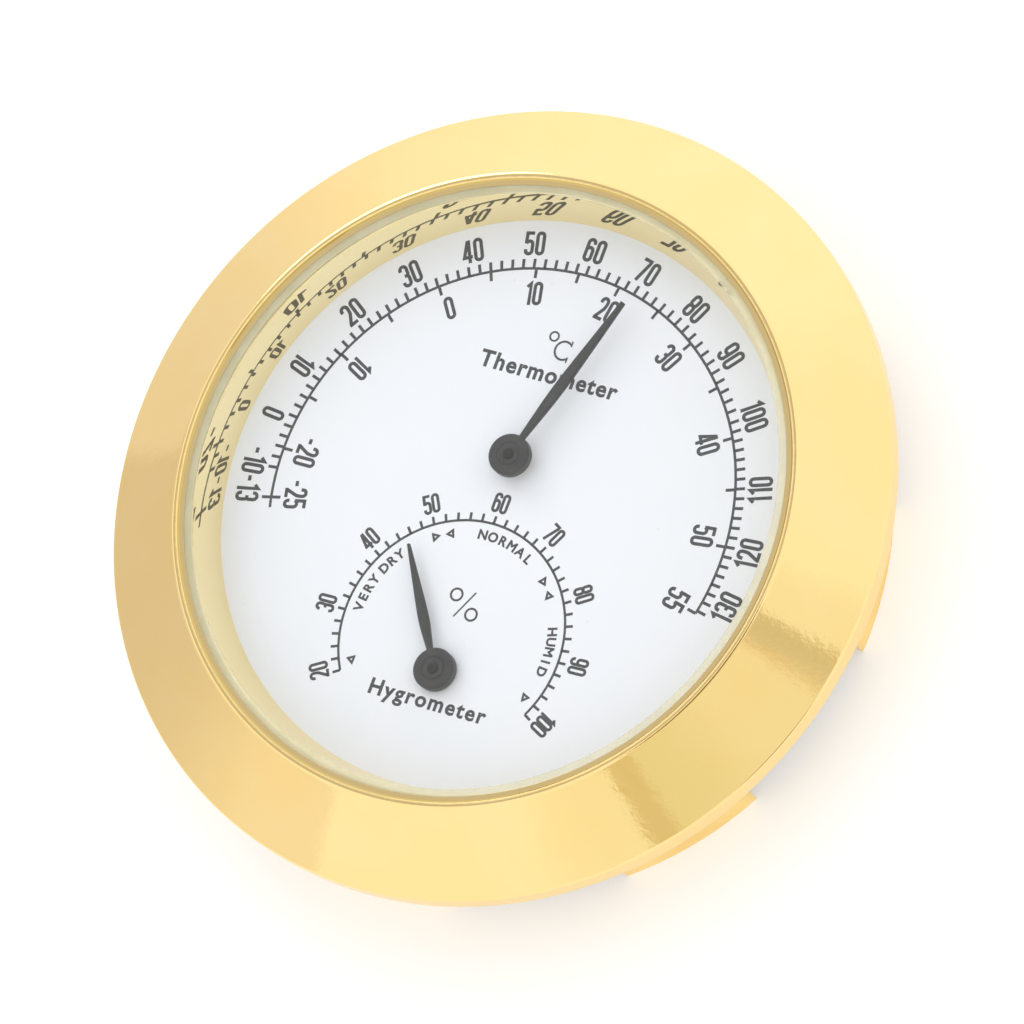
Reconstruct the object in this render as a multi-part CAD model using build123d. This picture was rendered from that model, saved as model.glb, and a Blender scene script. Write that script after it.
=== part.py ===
from build123d import *
import os
from math import cos, radians, sin

# Fit-up dial hygrometer with a thermometer, lying on its back.
# Millimetres. +Z is the way the dial faces, +Y is the top of the dial.
# The origin is the centre of the rear plane.

# Case
BEZEL_R = 36.0
TOTAL_HEIGHT = 15.55
SEAT_Z = 9.1  # rear face of the bezel, which lies on the panel
SHOULDER_Z = 11.4  # outer edge of the conical face
CONE_TOP = 15.25
REAR_EDGE_ROUNDING = 0.8
SHOULDER_ROUNDING = 0.3
BORE_CHAMFER = 0.45  # lets the can's neck in
LIP_INNER_R = 27.74
LIP_OUTER_R = 29.08
CREST_INNER_R = 28.45  # the bead's crest
CREST_OUTER_R = 28.78
CREST_INNER_ROUNDING = 0.25
CREST_OUTER_ROUNDING = 0.3
BEAD_FOOT_ROUNDING = 0.12
LIP_EDGE = 0.08
LENS_TOP = 14.95
LENS_THICKNESS = 1.0
LENS_R = 28.5
SEATED_PLAY = 0.1  # radial, round the glass, the dial and the cover
GASKET_THICKNESS = 0.25  # between the glass and the lip
GASKET_INNER_R = 27.05
DIAL_Z = 10.46  # printed face of the dial
DIAL_THICKNESS = 0.5
VISIBLE_DIAL_R = 26.0
REFLECTOR_TOP_R = 27.34
REFLECTOR_WALL = 0.5

# Housing, the can that goes into the panel's hole
CAN_R = 32.4
CAN_INNER_R = 31.4
CAN_FLANK_TOP = 8.9  # the full radius ends just short of the bezel's seat
NECK_R = 32.0  # the part of the can inside the bezel
CAN_TOP = 12.0
CAN_EDGE_ROUNDING = 0.3
LEDGE_INNER_R = 27.0
LEDGE_THICKNESS = 1.0
NOTCH_COUNT = 7
NOTCH_ANGLE = 28.0
NOTCH_DEPTH = 3.0
NOTCH_OVERCUT = 0.2
FIRST_NOTCH = -17.3  # middle of one notch, degrees from +X
BOSS_TABS = (0, 2, 5)  # the tabs that carry a screw boss
BOSS_CIRCLE_R = 29.3
BOSS_R = 2.4
PILOT_R = 0.92
PILOT_DEPTH = 5.0

# Back cover
COVER_THICKNESS = 1.2
COVER_R = CAN_INNER_R - SEATED_PLAY
COVER_EDGE_ROUNDING = 0.2
SCREW_HOLE_R = 1.1
SCREW_HEAD_R = 1.9
SCREW_HEAD_DEPTH = 0.9
SCREW_SLOT_WIDTH = 0.44
SCREW_SLOT_DEPTH = 0.5
SCREW_SLOT_HEADING = 25
SCREW_TIP_GAP = 0.5  # left below the pilot hole's end
ADJUSTER_HOLE_R = 3.0
VENT_COUNT = 6
VENT_CIRCLE_R = 6.2
VENT_WIDTH = 1.2
VENT_ANGLE = 34.0

# Both movements, heights measured from the rear plane
REAR_LEAF_Z = 2.6
LEAF_THICKNESS = 0.5
LEAF_R = 4.0
WEB_X = 9.5
WEB_THICKNESS = 0.5
BUSH_R = 0.9
BUSH_HEAD_R = 1.3
BUSH_HEAD_THICKNESS = 0.15
SPINDLE_R = 0.5
SPINDLE_FOOT_Z = 2.7
SPINDLE_END_PLAY = 0.1
SPINDLE_FOOT_ROUNDING = 0.15
SPINDLE_TIP_ROUNDING = 0.12
RUNNING_CLEARANCE = 0.05
FIXED_CLEARANCE = 0.02
ADJUSTER_HEAD_Z = 1.45
ADJUSTER_HEAD_R = 2.1
ADJUSTER_HEAD_THICKNESS = 0.67
DRIVER_SLOT_WIDTH = 0.6
DRIVER_SLOT_DEPTH = 0.5
WASHER_R = 2.8
WASHER_FLAT = 0.3
WASHER_THICKNESS = 0.25
ADJUSTER_STEM_R = 1.5
ADJUSTER_FLANGE_R = 3.0
ADJUSTER_FLANGE_THICKNESS = 0.6
ARM_WIDTH = 1.8
POST_DEPTH = 1.5
POST_TOP = 8.1
COLLET_R = 1.6
COLLET_BASE = 5.5
COLLET_HEIGHT = 2.6
COIL_BASE = 5.6
COIL_HEIGHT = 2.4
COIL_HALF_TURNS = 11
COIL_STRIP = 0.25
STRIP_SLIT = 0.45  # in the post, for the strip's outer end
SLIT_DEPTH_BELOW_COIL = 0.1
COIL_END_R = 7.3
COIL_TAIL = 6.0  # degrees of strip past the post's middle
PIN_R = 0.28

# Pointers. Headings are degrees clockwise from +Y, as the dial is read.
HUB_R = 1.88
HUB_THICKNESS = 0.91
HUB_ROUNDING = 0.15
BLADE_THICKNESS = 0.35
BLADE_BELOW_HUB_TOP = 0.05
SPINDLE_TIP = 0.12

THERMOMETER_Y = 4.05
THERMOMETER_HUB_TOP = 12.49
THERMOMETER_HEADING = 18.3
HYGROMETER_Y = -15.74
HYGROMETER_HUB_TOP = 11.66
HYGROMETER_HEADING = -32.9

# Blade outlines: (distance from the pivot, half width)
THERMOMETER_BLADE = [(1.6, 0.27), (3.2, 0.36), (5.5, 0.49), (7.8, 0.525), (11, 0.43), (16.46, 0.21)]
HYGROMETER_BLADE = [(1.6, 0.25), (2.8, 0.36), (4.0, 0.46), (5.0, 0.49), (7.5, 0.38), (11.89, 0.13)]

DIAL_BACK = DIAL_Z - DIAL_THICKNESS
LENS_BOTTOM = LENS_TOP - LENS_THICKNESS
LIP_SEAT = LENS_TOP + GASKET_THICKNESS
REAR_LEAF_TOP = REAR_LEAF_Z + LEAF_THICKNESS
FRONT_LEAF_Z = DIAL_BACK - LEAF_THICKNESS
FLANGE_Z = REAR_LEAF_TOP + RUNNING_CLEARANCE
FLANGE_TOP = FLANGE_Z + ADJUSTER_FLANGE_THICKNESS
HEAD_TOP = ADJUSTER_HEAD_Z + ADJUSTER_HEAD_THICKNESS


def turned(corners):
    """A body of revolution about Z. Each corner is (radius, height, rounding)."""
    points = [(r, z) for r, z, _ in corners]
    rounding = [c for _, _, c in corners]
    outline = FilletPolyline(*points, radius=rounding, close=True)
    return revolve(Plane.XZ * make_face(outline), Axis.Z)


def sharp(*corners):
    return [(r, z, 0) for r, z in corners]


def tube(inner, outer, low, high):
    return turned(sharp((inner, low), (outer, low), (outer, high), (inner, high)))


def cylinder(radius, low, high, x=0, y=0):
    return Pos(x, y, low) * extrude(Circle(radius), high - low)


def block(x0, x1, y0, y1, z0, z1):
    size = Box(x1 - x0, y1 - y0, z1 - z0)
    return Pos((x0 + x1) / 2, (y0 + y1) / 2, (z0 + z1) / 2) * size


def bezel():
    """Ring with a rounded rim, a polished cone and a bead round the lens."""
    can_bore = NECK_R + RUNNING_CLEARANCE
    lens_bore = LENS_R + SEATED_PLAY
    corners = [
        (can_bore, SEAT_Z + BORE_CHAMFER, 0),
        (can_bore + BORE_CHAMFER, SEAT_Z, 0),
        (BEZEL_R, SEAT_Z, REAR_EDGE_ROUNDING),
        (BEZEL_R, SHOULDER_Z, SHOULDER_ROUNDING),
        (LIP_OUTER_R, CONE_TOP, BEAD_FOOT_ROUNDING),
        (CREST_OUTER_R, TOTAL_HEIGHT, CREST_OUTER_ROUNDING),
        (CREST_INNER_R, TOTAL_HEIGHT, CREST_INNER_ROUNDING),
        (LIP_INNER_R, LIP_SEAT + LIP_EDGE, 0),
        (LIP_INNER_R, LIP_SEAT, 0),
        (lens_bore, LIP_SEAT, 0),
        (lens_bore, CAN_TOP, 0),
        (can_bore, CAN_TOP, 0),
    ]
    return turned(corners)


def lens():
    return cylinder(LENS_R, LENS_BOTTOM, LENS_TOP)


def lens_gasket():
    """Flat ring on the glass, under the bezel's lip."""
    return tube(GASKET_INNER_R, LENS_R, LENS_TOP, LIP_SEAT)


def reflector_ring():
    """Conical mirror from the dial up to a flange under the glass."""
    flange_low = LENS_BOTTOM - REFLECTOR_WALL
    return turned(
        sharp(
            (VISIBLE_DIAL_R, DIAL_Z),
            (VISIBLE_DIAL_R + REFLECTOR_WALL, DIAL_Z),
            (REFLECTOR_TOP_R + REFLECTOR_WALL, flange_low),
            (LENS_R, flange_low),
            (LENS_R, LENS_BOTTOM),
            (REFLECTOR_TOP_R, LENS_BOTTOM),
        )
    )


def dial_plate():
    plate = cylinder(CAN_INNER_R - SEATED_PLAY, DIAL_BACK, DIAL_Z)
    for y in (THERMOMETER_Y, HYGROMETER_Y):
        plate -= cylinder(BUSH_R + FIXED_CLEARANCE, DIAL_BACK - 1, DIAL_Z + 1, y=y)
    return plate


def boss_places():
    """Centre of each screw boss, on the tabs between the notches."""
    pitch = 360 / NOTCH_COUNT
    for tab in BOSS_TABS:
        a = radians(FIRST_NOTCH - pitch / 2 + tab * pitch)
        yield BOSS_CIRCLE_R * cos(a), BOSS_CIRCLE_R * sin(a)


def housing():
    """Can with a ledge for the dial, three screw bosses and a notched rear edge."""
    ledge_low = DIAL_BACK - LEDGE_THICKNESS
    can = turned(
        [
            (CAN_R, 0, CAN_EDGE_ROUNDING),
            (CAN_R, CAN_FLANK_TOP, 0),
            (NECK_R, CAN_FLANK_TOP, 0),
            (NECK_R, CAN_TOP, 0),
            (CAN_INNER_R, CAN_TOP, 0),
            (CAN_INNER_R, DIAL_BACK, 0),
            (LEDGE_INNER_R, DIAL_BACK, 0),
            (LEDGE_INNER_R, ledge_low, 0),
            (CAN_INNER_R, ledge_low, 0),
            (CAN_INNER_R, 0, 0),
        ]
    )
    for x, y in boss_places():
        can += cylinder(BOSS_R, COVER_THICKNESS, ledge_low, x, y)
        can -= cylinder(PILOT_R, COVER_THICKNESS, COVER_THICKNESS + PILOT_DEPTH, x, y)
    gap_width = 2 * (CAN_R - CAN_INNER_R + NOTCH_OVERCUT)
    gap = Plane.XZ * Pos(CAN_R, 0) * Rectangle(gap_width, 2 * NOTCH_DEPTH)
    notch = revolve(gap, Axis.Z, revolution_arc=NOTCH_ANGLE)
    for n in range(NOTCH_COUNT):
        start = FIRST_NOTCH - NOTCH_ANGLE / 2 + n * 360 / NOTCH_COUNT
        can -= Rot(0, 0, start) * notch
    return can


def back_cover():
    """Disc inside the can's rear edge, with vents round both adjuster holes."""
    cover = turned(
        [
            (0, 0, 0),
            (COVER_R, 0, COVER_EDGE_ROUNDING),
            (COVER_R, COVER_THICKNESS, 0),
            (0, COVER_THICKNESS, 0),
        ]
    )
    for x, y in boss_places():
        cover -= Pos(x, y, 0) * screw_shape(FIXED_CLEARANCE, SCREW_HOLE_R, COVER_THICKNESS)
    slot = CenterArc((0, 0), VENT_CIRCLE_R, -VENT_ANGLE / 2, VENT_ANGLE)
    vent = Pos(0, 0, -1) * extrude(SlotArc(slot, VENT_WIDTH), COVER_THICKNESS + 2)
    for y in (THERMOMETER_Y, HYGROMETER_Y):
        cover -= cylinder(ADJUSTER_HOLE_R, -1, COVER_THICKNESS + 1, y=y)
        for n in range(VENT_COUNT):
            cover -= Pos(0, y, 0) * Rot(0, 0, n * 360 / VENT_COUNT) * vent
    return cover


def screw_shape(clearance, shank_r, length):
    """Countersunk head, flush with the rear plane, and a plain shank."""
    head_r = SCREW_HEAD_R + clearance
    return turned(
        sharp((0, 0), (head_r, 0), (shank_r, SCREW_HEAD_DEPTH), (shank_r, length), (0, length))
    )


def cover_screws():
    shank_r = PILOT_R - FIXED_CLEARANCE
    length = COVER_THICKNESS + PILOT_DEPTH - SCREW_TIP_GAP
    slot = Box(2 * SCREW_HEAD_R, SCREW_SLOT_WIDTH, 2 * SCREW_SLOT_DEPTH)
    screw = Rot(0, 0, SCREW_SLOT_HEADING) * (screw_shape(0, shank_r, length) - slot)
    return Compound([Pos(x, y, 0) * screw for x, y in boss_places()])


def movement_frame(y):
    """C-shaped bracket: a leaf under the dial, a side web and a rear leaf."""
    web_end = WEB_X + WEB_THICKNESS
    frame = block(WEB_X, web_end, -LEAF_R, LEAF_R, REAR_LEAF_Z, DIAL_BACK)
    rear_hole_r = ADJUSTER_STEM_R + RUNNING_CLEARANCE
    front_hole_r = BUSH_R + FIXED_CLEARANCE
    for low, hole_r in ((REAR_LEAF_Z, rear_hole_r), (FRONT_LEAF_Z, front_hole_r)):
        high = low + LEAF_THICKNESS
        frame += block(0, WEB_X, -LEAF_R, LEAF_R, low, high)
        frame += cylinder(LEAF_R, low, high)
        frame -= cylinder(hole_r, low - 1, high + 1)
    return Pos(0, y, 0) * frame


def front_bush(y):
    """Eyelet that clamps the frame to the dial and carries the spindle's front."""
    bore = SPINDLE_R + RUNNING_CLEARANCE
    low = FRONT_LEAF_Z - BUSH_HEAD_THICKNESS
    high = DIAL_Z + BUSH_HEAD_THICKNESS
    return Pos(0, y, 0) * turned(
        sharp(
            (bore, low),
            (BUSH_HEAD_R, low),
            (BUSH_HEAD_R, FRONT_LEAF_Z),
            (BUSH_R, FRONT_LEAF_Z),
            (BUSH_R, DIAL_Z),
            (BUSH_HEAD_R, DIAL_Z),
            (BUSH_HEAD_R, high),
            (bore, high),
        )
    )


def adjuster(y, turn):
    """Slotted calibration stem with a rear bearing, and an arm to the coil's end."""
    stem = turned(
        sharp(
            (0, ADJUSTER_HEAD_Z),
            (ADJUSTER_HEAD_R, ADJUSTER_HEAD_Z),
            (ADJUSTER_HEAD_R, HEAD_TOP),
            (ADJUSTER_STEM_R, HEAD_TOP),
            (ADJUSTER_STEM_R, FLANGE_Z),
            (ADJUSTER_FLANGE_R, FLANGE_Z),
            (ADJUSTER_FLANGE_R, FLANGE_TOP),
            (0, FLANGE_TOP),
        )
    )
    outer = COIL_END_R + POST_DEPTH / 2
    half = ARM_WIDTH / 2
    stem += block(-half, half, ADJUSTER_STEM_R, outer, FLANGE_Z, FLANGE_TOP)
    stem += block(-half, half, outer - POST_DEPTH, outer, FLANGE_Z, POST_TOP)
    slit_low = COIL_END_R - STRIP_SLIT / 2
    slit_foot = COIL_BASE - SLIT_DEPTH_BELOW_COIL
    stem -= block(-half, half, slit_low, slit_low + STRIP_SLIT, slit_foot, POST_TOP)
    stem -= cylinder(SPINDLE_R + RUNNING_CLEARANCE, SPINDLE_FOOT_Z - SPINDLE_END_PLAY, FLANGE_TOP)
    driver_slot = Box(2 * ADJUSTER_HEAD_R, DRIVER_SLOT_WIDTH, 2 * DRIVER_SLOT_DEPTH)
    stem -= Pos(0, 0, ADJUSTER_HEAD_Z) * driver_slot
    stem -= coil_pin_shape(FIXED_CLEARANCE)
    return Pos(0, y, 0) * Rot(0, 0, turn) * stem


def coil_pin_shape(clearance):
    """Rivet through the post and the coil's outer end, along the arm."""
    low = COIL_END_R - POST_DEPTH / 2
    pin = extrude(Circle(PIN_R + clearance), POST_DEPTH)
    return Pos(0, low, COIL_BASE + COIL_HEIGHT / 2) * Rot(-90, 0, 0) * pin


def coil_pin(y, turn):
    return Pos(0, y, 0) * Rot(0, 0, turn) * coil_pin_shape(0)


def friction_washer(y):
    """Sprung cone between the adjuster's head and the rear leaf."""
    inner = ADJUSTER_STEM_R + RUNNING_CLEARANCE
    low = HEAD_TOP + RUNNING_CLEARANCE
    return Pos(0, y, 0) * turned(
        sharp(
            (inner, low),
            (inner + WASHER_FLAT, low),
            (WASHER_R, REAR_LEAF_Z - WASHER_THICKNESS),
            (WASHER_R, REAR_LEAF_Z),
            (inner, low + WASHER_THICKNESS),
        )
    )


def half_turn(radius, centre_x, start, sweep):
    """Half a turn of strip, as a solid standing on the coil's base."""
    outer = CenterArc((centre_x, 0), radius + COIL_STRIP / 2, start, sweep)
    inner = CenterArc((centre_x, 0), radius - COIL_STRIP / 2, start, sweep)
    ends = Curve() + [Line(outer @ 0, inner @ 0), Line(outer @ 1, inner @ 1)]
    return Pos(0, 0, COIL_BASE) * extrude(make_face(outer + inner + ends), COIL_HEIGHT)


def coil(y, turn):
    """Flat spiral of half circles: each has a larger radius than the one before."""
    first_r = COLLET_R + FIXED_CLEARANCE + COIL_STRIP / 2
    step = (COIL_END_R - first_r) / (COIL_HALF_TURNS - 1)
    spiral = half_turn(first_r, 0, 0, 180)
    for n in range(1, COIL_HALF_TURNS):
        tail = COIL_TAIL if n == COIL_HALF_TURNS - 1 else 0
        spiral += half_turn(first_r + n * step, n % 2 * step, n % 2 * 180, 180 + tail)
    outer_end_at_post = Rot(0, 0, -90)
    spiral = outer_end_at_post * spiral - coil_pin_shape(FIXED_CLEARANCE)
    return Pos(0, y, 0) * Rot(0, 0, turn) * spiral


def collet(y):
    inner = SPINDLE_R + FIXED_CLEARANCE
    return Pos(0, y, 0) * tube(inner, COLLET_R, COLLET_BASE, COLLET_BASE + COLLET_HEIGHT)


def spindle(y, hub_top):
    top = hub_top + SPINDLE_TIP
    return Pos(0, y, 0) * turned(
        [
            (0, SPINDLE_FOOT_Z, 0),
            (SPINDLE_R, SPINDLE_FOOT_Z, SPINDLE_FOOT_ROUNDING),
            (SPINDLE_R, top, SPINDLE_TIP_ROUNDING),
            (0, top, 0),
        ]
    )


def pointer(y, hub_top, heading, blade):
    """Hub disc with a tapering blade."""
    hub = turned(
        [
            (SPINDLE_R + FIXED_CLEARANCE, hub_top - HUB_THICKNESS, 0),
            (HUB_R, hub_top - HUB_THICKNESS, 0),
            (HUB_R, hub_top, HUB_ROUNDING),
            (SPINDLE_R + FIXED_CLEARANCE, hub_top, 0),
        ]
    )
    right = Spline(*[(w, d) for d, w in blade])
    left = Spline(*[(-w, d) for d, w in blade])
    root = Line(left @ 0, right @ 0)
    tip = Line(left @ 1, right @ 1)
    outline = make_face(Curve() + [right, left, root, tip])
    blade_low = hub_top - BLADE_BELOW_HUB_TOP - BLADE_THICKNESS
    body = hub + Pos(0, 0, blade_low) * extrude(outline, BLADE_THICKNESS)
    return Pos(0, y, 0) * Rot(0, 0, -heading) * body


def movement(name, y, hub_top, heading, arm_turn, blade):
    """All the pieces of one movement, by node name."""
    return {
        f"{name}_frame": movement_frame(y),
        f"{name}_front_bush": front_bush(y),
        f"{name}_friction_washer": friction_washer(y),
        f"{name}_adjuster": adjuster(y, arm_turn),
        f"{name}_coil_pin": coil_pin(y, arm_turn),
        f"{name}_coil": coil(y, arm_turn),
        f"{name}_collet": collet(y),
        f"{name}_spindle": spindle(y, hub_top),
        f"{name}_pointer": pointer(y, hub_top, heading, blade),
    }


parts = {
    "bezel": bezel(),
    "lens": lens(),
    "lens_gasket": lens_gasket(),
    "reflector_ring": reflector_ring(),
    "dial_plate": dial_plate(),
    "housing": housing(),
    "back_cover": back_cover(),
    "cover_screws": cover_screws(),
}
parts |= movement(
    "thermometer", THERMOMETER_Y, THERMOMETER_HUB_TOP, THERMOMETER_HEADING, 0, THERMOMETER_BLADE
)
parts |= movement(
    "hygrometer", HYGROMETER_Y, HYGROMETER_HUB_TOP, HYGROMETER_HEADING, 180, HYGROMETER_BLADE
)

os.makedirs("parts", exist_ok=True)
for node, shape in parts.items():
    export_step(shape, f"parts/{node}.step")
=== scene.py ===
import math

import bmesh
import bpy
from mathutils import Matrix, Vector


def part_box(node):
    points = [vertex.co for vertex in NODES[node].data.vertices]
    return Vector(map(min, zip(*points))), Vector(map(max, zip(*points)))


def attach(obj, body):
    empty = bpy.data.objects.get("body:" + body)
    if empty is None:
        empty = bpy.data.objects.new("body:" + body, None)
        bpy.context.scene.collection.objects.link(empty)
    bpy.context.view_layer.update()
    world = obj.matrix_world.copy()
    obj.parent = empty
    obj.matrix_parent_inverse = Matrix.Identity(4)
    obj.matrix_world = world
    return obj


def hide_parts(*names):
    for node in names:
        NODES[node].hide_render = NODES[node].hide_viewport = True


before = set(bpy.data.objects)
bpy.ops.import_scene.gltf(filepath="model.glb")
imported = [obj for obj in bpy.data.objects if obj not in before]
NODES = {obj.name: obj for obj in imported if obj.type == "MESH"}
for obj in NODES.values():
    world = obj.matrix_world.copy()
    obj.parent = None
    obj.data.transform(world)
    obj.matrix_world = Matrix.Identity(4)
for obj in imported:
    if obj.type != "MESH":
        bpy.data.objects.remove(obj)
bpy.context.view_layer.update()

# Looks of a fit-up dial hygrometer with a thermometer, lying on its back.
# Metres, in the CAD frame: +Z is the way the dial faces, +Y is the top of the dial.

MM = 0.001

BEZEL_LOW, BEZEL_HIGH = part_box("bezel")
HOUSING_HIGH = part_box("housing")[1]
LENS_LOW, LENS_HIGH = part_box("lens")
MIRROR_LOW, MIRROR_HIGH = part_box("reflector_ring")
DIAL_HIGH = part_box("dial_plate")[1]
GASKET_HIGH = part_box("lens_gasket")[1]

BEZEL_R = BEZEL_HIGH.x
LENS_R = LENS_HIGH.x
DIAL_Z = DIAL_HIGH.z

TURN_STEPS = 384  # columns in a turned piece
ROUND_STEPS = 8  # points on a rounded corner
EDGE_LOOP = 0.05 * MM  # a row this close to each corner keeps flat faces flat
HAIR = 0.01 * MM  # gap between touching pieces, so that no two faces share a plane

LIP_R = 27.78 * MM  # the lip's inner edge
LIP_SLOPE_R = 28.20 * MM  # where the lip's land meets the step up to the crest
CREST_R = 28.36 * MM  # inner edge of the crest
CONE_END_R = 28.80 * MM
GASKET_R = 27.05 * MM


# ---------------------------------------------------------------- mesh tools

def new_piece(name, bm, material, body="root", sharp=30, replaces=()):
    """Turns a bmesh into a named piece that rides on a CAD body."""
    bmesh.ops.recalc_face_normals(bm, faces=bm.faces)
    mesh = bpy.data.meshes.new(name)
    bm.to_mesh(mesh)
    bm.free()
    mesh.shade_smooth()
    mesh.set_sharp_from_angle(angle=math.radians(sharp))
    piece = bpy.data.objects.new(name, mesh)
    bpy.context.scene.collection.objects.link(piece)
    mesh.materials.append(material)
    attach(piece, body)
    if replaces:
        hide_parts(*replaces)
    return piece


def rounded(corners):
    """Closed outline with its corners rounded. Each corner is (radius, height, rounding)."""
    points = []
    count = len(corners)
    for i, (r, z, rounding) in enumerate(corners):
        here = Vector((r, z))
        before = Vector(corners[i - 1][:2])
        after = Vector(corners[(i + 1) % count][:2])
        if rounding == 0:
            points.append(here)
            continue
        back, ahead = (before - here).normalized(), (after - here).normalized()
        half = back.angle(ahead) / 2
        reach = rounding / math.tan(half)
        centre = here + (back + ahead).normalized() * rounding / math.sin(half)
        start, end = here + back * reach - centre, here + ahead * reach - centre
        sweep = start.angle_signed(end)
        for k in range(ROUND_STEPS + 1):
            spoke = Matrix.Rotation(-sweep * k / ROUND_STEPS, 2) @ start
            points.append(centre + spoke)
    return points


def with_edge_loops(points):
    """The same outline, with extra points next to the ends of each long run."""
    result = []
    for i, here in enumerate(points):
        after = points[(i + 1) % len(points)]
        run = after - here
        result.append(here)
        if run.length > 4 * EDGE_LOOP:
            step = run.normalized() * EDGE_LOOP
            result += [here + step, after - step]
    return result


def lathe(outline, steps=TURN_STEPS):
    """Turns a closed outline of (radius, height) about Z. Points on the axis become one vertex."""
    bm = bmesh.new()
    columns = []
    centre_verts = {}
    for k in range(steps):
        a = 2 * math.pi * k / steps
        column = []
        for i, (r, z) in enumerate(outline):
            if r < 1e-7:
                if i not in centre_verts:
                    centre_verts[i] = bm.verts.new((0, 0, z))
                column.append(centre_verts[i])
            else:
                column.append(bm.verts.new((r * math.cos(a), r * math.sin(a), z)))
        columns.append(column)
    for k in range(steps):
        this, following = columns[k], columns[(k + 1) % steps]
        for i in range(len(outline)):
            j = (i + 1) % len(outline)
            ring = [this[i], this[j], following[j], following[i]]
            corners = list(dict.fromkeys(ring))
            if len(corners) > 2:
                bm.faces.new(corners)
    return bm


def turned(corners, steps=TURN_STEPS):
    """Turns an outline of (radius, height, rounding) about Z."""
    return lathe(with_edge_loops(rounded(corners)), steps)


# ---------------------------------------------------------------- material tools

class Look:
    """A procedural material, built round one Principled shader."""

    def __init__(self, name, colour, **values):
        self.material = bpy.data.materials.new(name)
        self.material.use_nodes = True
        self.nodes = self.material.node_tree.nodes
        self.links = self.material.node_tree.links
        self.shader = self.nodes["Principled BSDF"]
        self.shader.inputs["Base Color"].default_value = (*colour, 1)
        for word, value in values.items():
            socket = word.replace("_", " ").title().replace("Ior", "IOR")
            self.shader.inputs[socket].default_value = value
        self.place = self.nodes.new("ShaderNodeTexCoord").outputs["Object"]

    def stretched(self, x, y, z):
        """Object coordinates, scaled by a different amount along each axis."""
        node = self.nodes.new("ShaderNodeMapping")
        node.inputs["Scale"].default_value = (x, y, z)
        self.links.new(self.place, node.inputs["Vector"])
        return node.outputs["Vector"]

    def noise(self, size, detail=2.0, roughness=0.5, vector=None):
        """Noise whose features are about size metres across."""
        node = self.nodes.new("ShaderNodeTexNoise")
        node.inputs["Scale"].default_value = 1 / size
        node.inputs["Detail"].default_value = detail
        node.inputs["Roughness"].default_value = roughness
        self.links.new(vector or self.place, node.inputs["Vector"])
        return node.outputs["Fac"]

    def specks(self, size):
        """Distance to the nearest of many scattered points, size metres apart."""
        node = self.nodes.new("ShaderNodeTexVoronoi")
        node.inputs["Scale"].default_value = 1 / size
        self.links.new(self.place, node.inputs["Vector"])
        return node.outputs["Distance"]

    def remap(self, value, low, high, to_low=0.0, to_high=1.0):
        """Stretches the run from low to high over another run."""
        node = self.nodes.new("ShaderNodeMapRange")
        node.inputs["From Min"].default_value = low
        node.inputs["From Max"].default_value = high
        node.inputs["To Min"].default_value = to_low
        node.inputs["To Max"].default_value = to_high
        self.links.new(value, node.inputs["Value"])
        return node.outputs["Result"]

    def mix(self, factor, first, second):
        """Blends two colours. Either may be a socket."""
        node = self.nodes.new("ShaderNodeMix")
        node.data_type = "RGBA"
        self.links.new(factor, node.inputs[0])
        for socket, colour in ((node.inputs[6], first), (node.inputs[7], second)):
            if isinstance(colour, tuple):
                socket.default_value = (*colour, 1)
            else:
                self.links.new(colour, socket)
        return node.outputs[2]

    def bump(self, height, distance):
        """Adds relief of that depth, in metres. Later calls add to earlier ones."""
        node = self.nodes.new("ShaderNodeBump")
        node.inputs["Distance"].default_value = distance
        self.links.new(height, node.inputs["Height"])
        normal = self.shader.inputs["Normal"]
        if normal.is_linked:
            self.links.new(normal.links[0].from_socket, node.inputs["Normal"])
        self.links.new(node.outputs["Normal"], normal)

    def drive(self, socket, value):
        self.links.new(value, self.shader.inputs[socket])


def gold(name, colour, deep_colour, roughness, waviness, painted_shade_rings=()):
    """Polished gold plating: faint tone changes, polish marks and a slight wave. The rings argument lists
    (radius, colour): inside that radius the base colour is painted that darker colour, as painted shade."""
    look = Look(name, colour, metallic=1.0)
    tone = look.remap(look.noise(6 * MM, 3), 0.35, 0.65)
    base = look.mix(tone, colour, deep_colour)
    edge = 0.02 * MM
    # Painted shade: darker gold inside each radius stands in for the shade on the lip's step and land.
    for radius, painted_shade_colour in painted_shade_rings:
        reach = look.nodes.new("ShaderNodeVectorMath")
        reach.operation = "LENGTH"
        look.links.new(look.stretched(1, 1, 0), reach.inputs[0])
        inside = look.remap(reach.outputs["Value"], radius - edge, radius + edge, 1.0, 0.0)
        base = look.mix(inside, base, painted_shade_colour)
    look.drive("Base Color", base)
    polish = look.noise(0.9 * MM, 4, 0.6)
    look.drive("Roughness", look.remap(polish, 0.3, 0.7, roughness * 0.8, roughness * 1.3))
    look.bump(look.noise(3 * MM, 2), waviness)
    look.bump(look.noise(0.5 * MM, 3, 0.6), waviness * 0.5)
    return look.material


def glass():
    """Clear glass that lets lamp light and scattered light straight through to what is behind it."""
    clear = (0.985, 0.99, 0.99)
    look = Look("look_lens_glass", clear, roughness=0.0, ior=1.5, transmission_weight=1.0)
    tint = look.remap(look.noise(12 * MM, 1), 0.4, 0.6)
    look.drive("Base Color", look.mix(tint, (0.98, 0.99, 0.985), clear))
    ray = look.nodes.new("ShaderNodeLightPath")
    surface = look.shader.outputs[0]
    for kind in ("Is Diffuse Ray", "Is Shadow Ray"):
        open_side = look.nodes.new("ShaderNodeBsdfTransparent")
        open_side.inputs["Color"].default_value = (0.975, 0.98, 0.98, 1)
        choice = look.nodes.new("ShaderNodeMixShader")
        look.links.new(ray.outputs[kind], choice.inputs[0])
        look.links.new(surface, choice.inputs[1])
        look.links.new(open_side.outputs[0], choice.inputs[2])
        surface = choice.outputs[0]
    look.links.new(surface, look.nodes["Material Output"].inputs["Surface"])
    return look.material


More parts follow.
